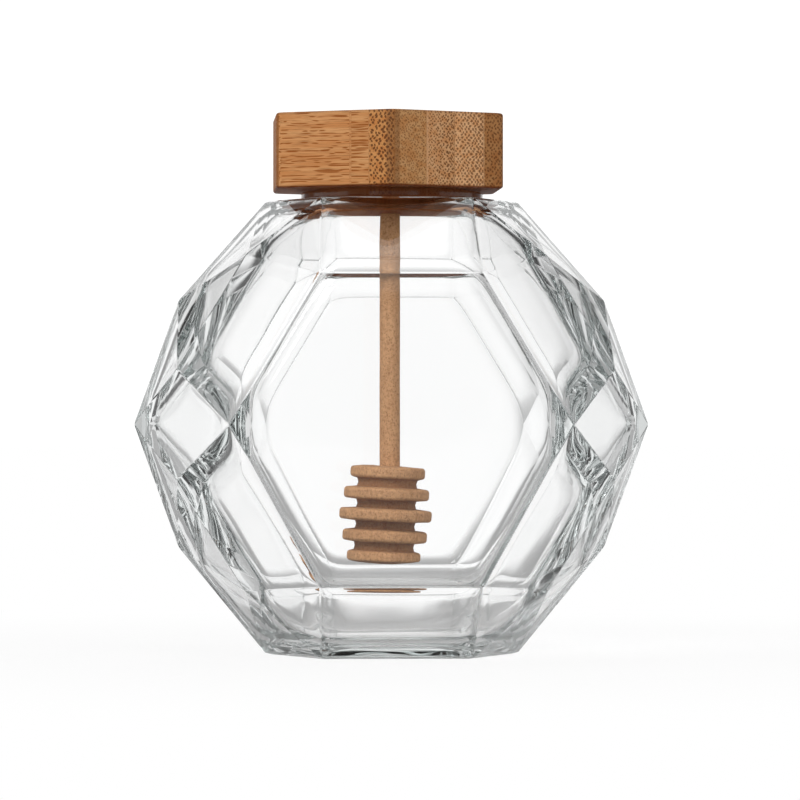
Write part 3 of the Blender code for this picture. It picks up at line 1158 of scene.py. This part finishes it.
class HONEYJAR_OT_studio(bpy.types.Operator):
    """Make the floor, the lights and the camera"""

    bl_idname = "honeyjar.studio"
    bl_label = "Studio"

    def tent_level(self, desk, direction):
        """How bright the light tent is in a direction: pale panels, with darker gaps between them."""
        parts = desk.add("ShaderNodeSeparateXYZ", {0: direction}).outputs
        turn = desk.math("ARCTAN2", parts["Y"], parts["X"])
        wave = desk.math("COSINE", desk.math("MULTIPLY", turn, TENT_PANELS))
        return desk.span(wave, TENT_GAP, (TENT_DARK, 1.0))

    def dimmed(self, desk, level, direction):
        """The level, less round the camera, where the studio is open, and less to either side."""
        parts = desk.add("ShaderNodeSeparateXYZ", {0: direction}).outputs
        share = desk.span(parts["Y"], OPENING_END, (OPENING_LEVEL, 1.0))
        level = desk.math("MULTIPLY", level, share)
        for side, share in TENT_SIDES:
            aside = desk.math("MULTIPLY", parts["X"], side)
            level = desk.math("MULTIPLY", level, desk.span(aside, TENT_SIDE, (1.0, share)))
        return desk.math("MULTIPLY", level, TENT_LEVEL)

    def make_floor(self):
        start_clean()
        bpy.ops.mesh.primitive_circle_add(
            vertices=FLOOR_SIDES,
            radius=FLOOR_RADIUS,
            fill_type="NGON",
            location=(0, 0, -FLOOR_GAP),
        )
        floor = bpy.context.object
        floor.name = "floor"
        desk = FinishDesk("floor")
        place = desk.object_place()
        reach = desk.add("ShaderNodeVectorMath", {0: place}, operation="LENGTH").outputs["Value"]
        seen = desk.add("ShaderNodeLightPath").outputs["Is Camera Ray"]
        shown = desk.math("MULTIPLY", seen, desk.span(reach, FLOOR_BRIGHTENS, (FLOOR_GLOW, 1.0)))
        fade = desk.math("MAXIMUM", shown, desk.span(reach, FLOOR_GLOWS))
        tone = desk.mix(seen, opaque([FLOOR_LIGHT_TONE] * 3), opaque([FLOOR_SHOWN_TONE] * 3))
        desk.link(tone, desk.shader.inputs["Base Color"])
        desk.set(Roughness=0.8, Specular_IOR_Level=0.1)
        toward = desk.add("ShaderNodeVectorMath", {0: place}, operation="NORMALIZE").outputs[0]
        level = desk.math("MAXIMUM", self.tent_level(desk, toward), desk.span(reach, FLOOR_WHITE))
        level = desk.math("MAXIMUM", self.dimmed(desk, level, toward), FLOOR_LEAST)
        unseen = desk.math("SUBTRACT", 1, seen)
        level = desk.math("ADD", desk.math("MULTIPLY", level, unseen), seen)
        glow = desk.add("ShaderNodeEmission", {"Color": (1, 1, 1, 1), "Strength": level})
        surface = desk.shader.outputs[0]
        both = desk.add("ShaderNodeMixShader", {0: fade, 1: surface, 2: glow.outputs[0]})
        desk.link(both.outputs[0], desk.output.inputs["Surface"])
        floor.data.materials.append(desk.material)

    def make_world(self):
        world = bpy.data.worlds.new("studio")
        bpy.context.scene.world = world
        world.use_nodes = True
        world.node_tree.nodes.clear()
        desk = NodeDesk(world.node_tree)
        direction = desk.add("ShaderNodeTexCoord").outputs["Generated"]
        rise = desk.add("ShaderNodeSeparateXYZ", {0: direction}).outputs["Z"]
        height = desk.ramp(rise, *((place, [level] * 3) for place, level in TENT_HEIGHT))
        level = desk.math("MULTIPLY", self.tent_level(desk, direction), height)
        eye = desk.math("SUBTRACT", EYE_BAND, desk.math("ABSOLUTE", rise))
        eye = desk.math("MULTIPLY", eye, 2 / EYE_BAND, clamp=True)
        level = desk.math("MAXIMUM", level, eye)
        level = self.dimmed(desk, level, direction)
        seen = desk.add("ShaderNodeLightPath").outputs["Is Camera Ray"]
        glow = desk.add(
            "ShaderNodeBackground",
            {"Color": (1, 1, 1, 1), "Strength": desk.math("MAXIMUM", seen, level)},
        )
        output = desk.add("ShaderNodeOutputWorld")
        desk.link(glow.outputs[0], output.inputs["Surface"])

    def add_light(self, name, place, power):
        """A square soft light that faces the jar."""
        bpy.ops.object.light_add(type="AREA", location=place)
        light = bpy.context.object
        light.name = name
        light.data.energy = power
        light.data.shape = "SQUARE"
        light.data.size = LIGHT_SIZE
        aim = Vector((0, 0, WAIST_Z)) - Vector(place)
        light.rotation_euler = aim.to_track_quat("-Z", "Y").to_euler()
        return light

    def execute(self, context):
        looks = context.scene.honeyjar_studio
        self.make_floor()
        self.make_world()
        self.add_light("key", KEY_PLACE, looks.key_power)
        fill = self.add_light("fill", FILL_PLACE, looks.key_power * FILL_SHARE)
        fill.visible_glossy = False
        fill.visible_transmission = False
        side = looks.camera_side
        away = looks.camera_distance
        start_clean()
        bpy.ops.object.camera_add(
            location=(-away * math.sin(side), -away * math.cos(side), looks.camera_height)
        )
        camera = context.object
        camera.data.lens = looks.lens
        camera.data.clip_end = 100
        focal = looks.lens / camera.data.sensor_width * IMAGE_SIZE
        left = math.atan((IMAGE_SIZE / 2 - AXIS_COLUMN) / focal)
        up = math.atan((HORIZON_ROW - IMAGE_SIZE / 2) / focal)
        camera.rotation_euler = (math.pi / 2 + up, 0, -side - left)
        context.scene.camera = camera
        context.scene.view_settings.view_transform = "Standard"
        context.scene.cycles.use_denoising = True
        context.scene.cycles.max_bounces = GLASS_BOUNCES
        context.scene.cycles.glossy_bounces = GLASS_BOUNCES
        context.scene.cycles.transmission_bounces = GLASS_BOUNCES
        context.scene.cycles.transparent_max_bounces = CLEAR_BOUNCES
        return {"FINISHED"}


class HONEYJAR_PT_panel(bpy.types.Panel):
    """Lists the pieces and their sizes"""

    bl_idname = "HONEYJAR_PT_panel"
    bl_label = "Honey Jar"
    bl_space_type = "VIEW_3D"
    bl_region_type = "UI"
    bl_category = "Honey Jar"

    def draw(self, context):
        for kind, operator in PIECES:
            box = self.layout.box()
            box.operator(operator)
            looks = getattr(context.scene, "honeyjar_" + kind)
            for name in looks.__annotations__:
                box.prop(looks, name)


PIECES = (
    ("glass", "honeyjar.glass"),
    ("lid", "honeyjar.lid"),
    ("dipper", "honeyjar.dipper"),
    ("studio", "honeyjar.studio"),
)
GROUPS = {"glass": GlassLooks, "lid": LidLooks, "dipper": DipperLooks, "studio": StudioLooks}
CLASSES = (
    *GROUPS.values(),
    HONEYJAR_OT_glass,
    HONEYJAR_OT_lid,
    HONEYJAR_OT_dipper,
    HONEYJAR_OT_studio,
    HONEYJAR_PT_panel,
)


def register():
    for item in CLASSES:
        bpy.utils.register_class(item)
    for kind, group in GROUPS.items():
        setattr(bpy.types.Scene, "honeyjar_" + kind, PointerProperty(type=group))


def unregister():
    for kind in GROUPS:
        delattr(bpy.types.Scene, "honeyjar_" + kind)
    for item in reversed(CLASSES):
        bpy.utils.unregister_class(item)


def main():
    register()
    bpy.ops.honeyjar.glass()
    bpy.ops.honeyjar.lid()
    bpy.ops.honeyjar.dipper()
    bpy.ops.honeyjar.studio()


if __name__ == "__main__":
    main()
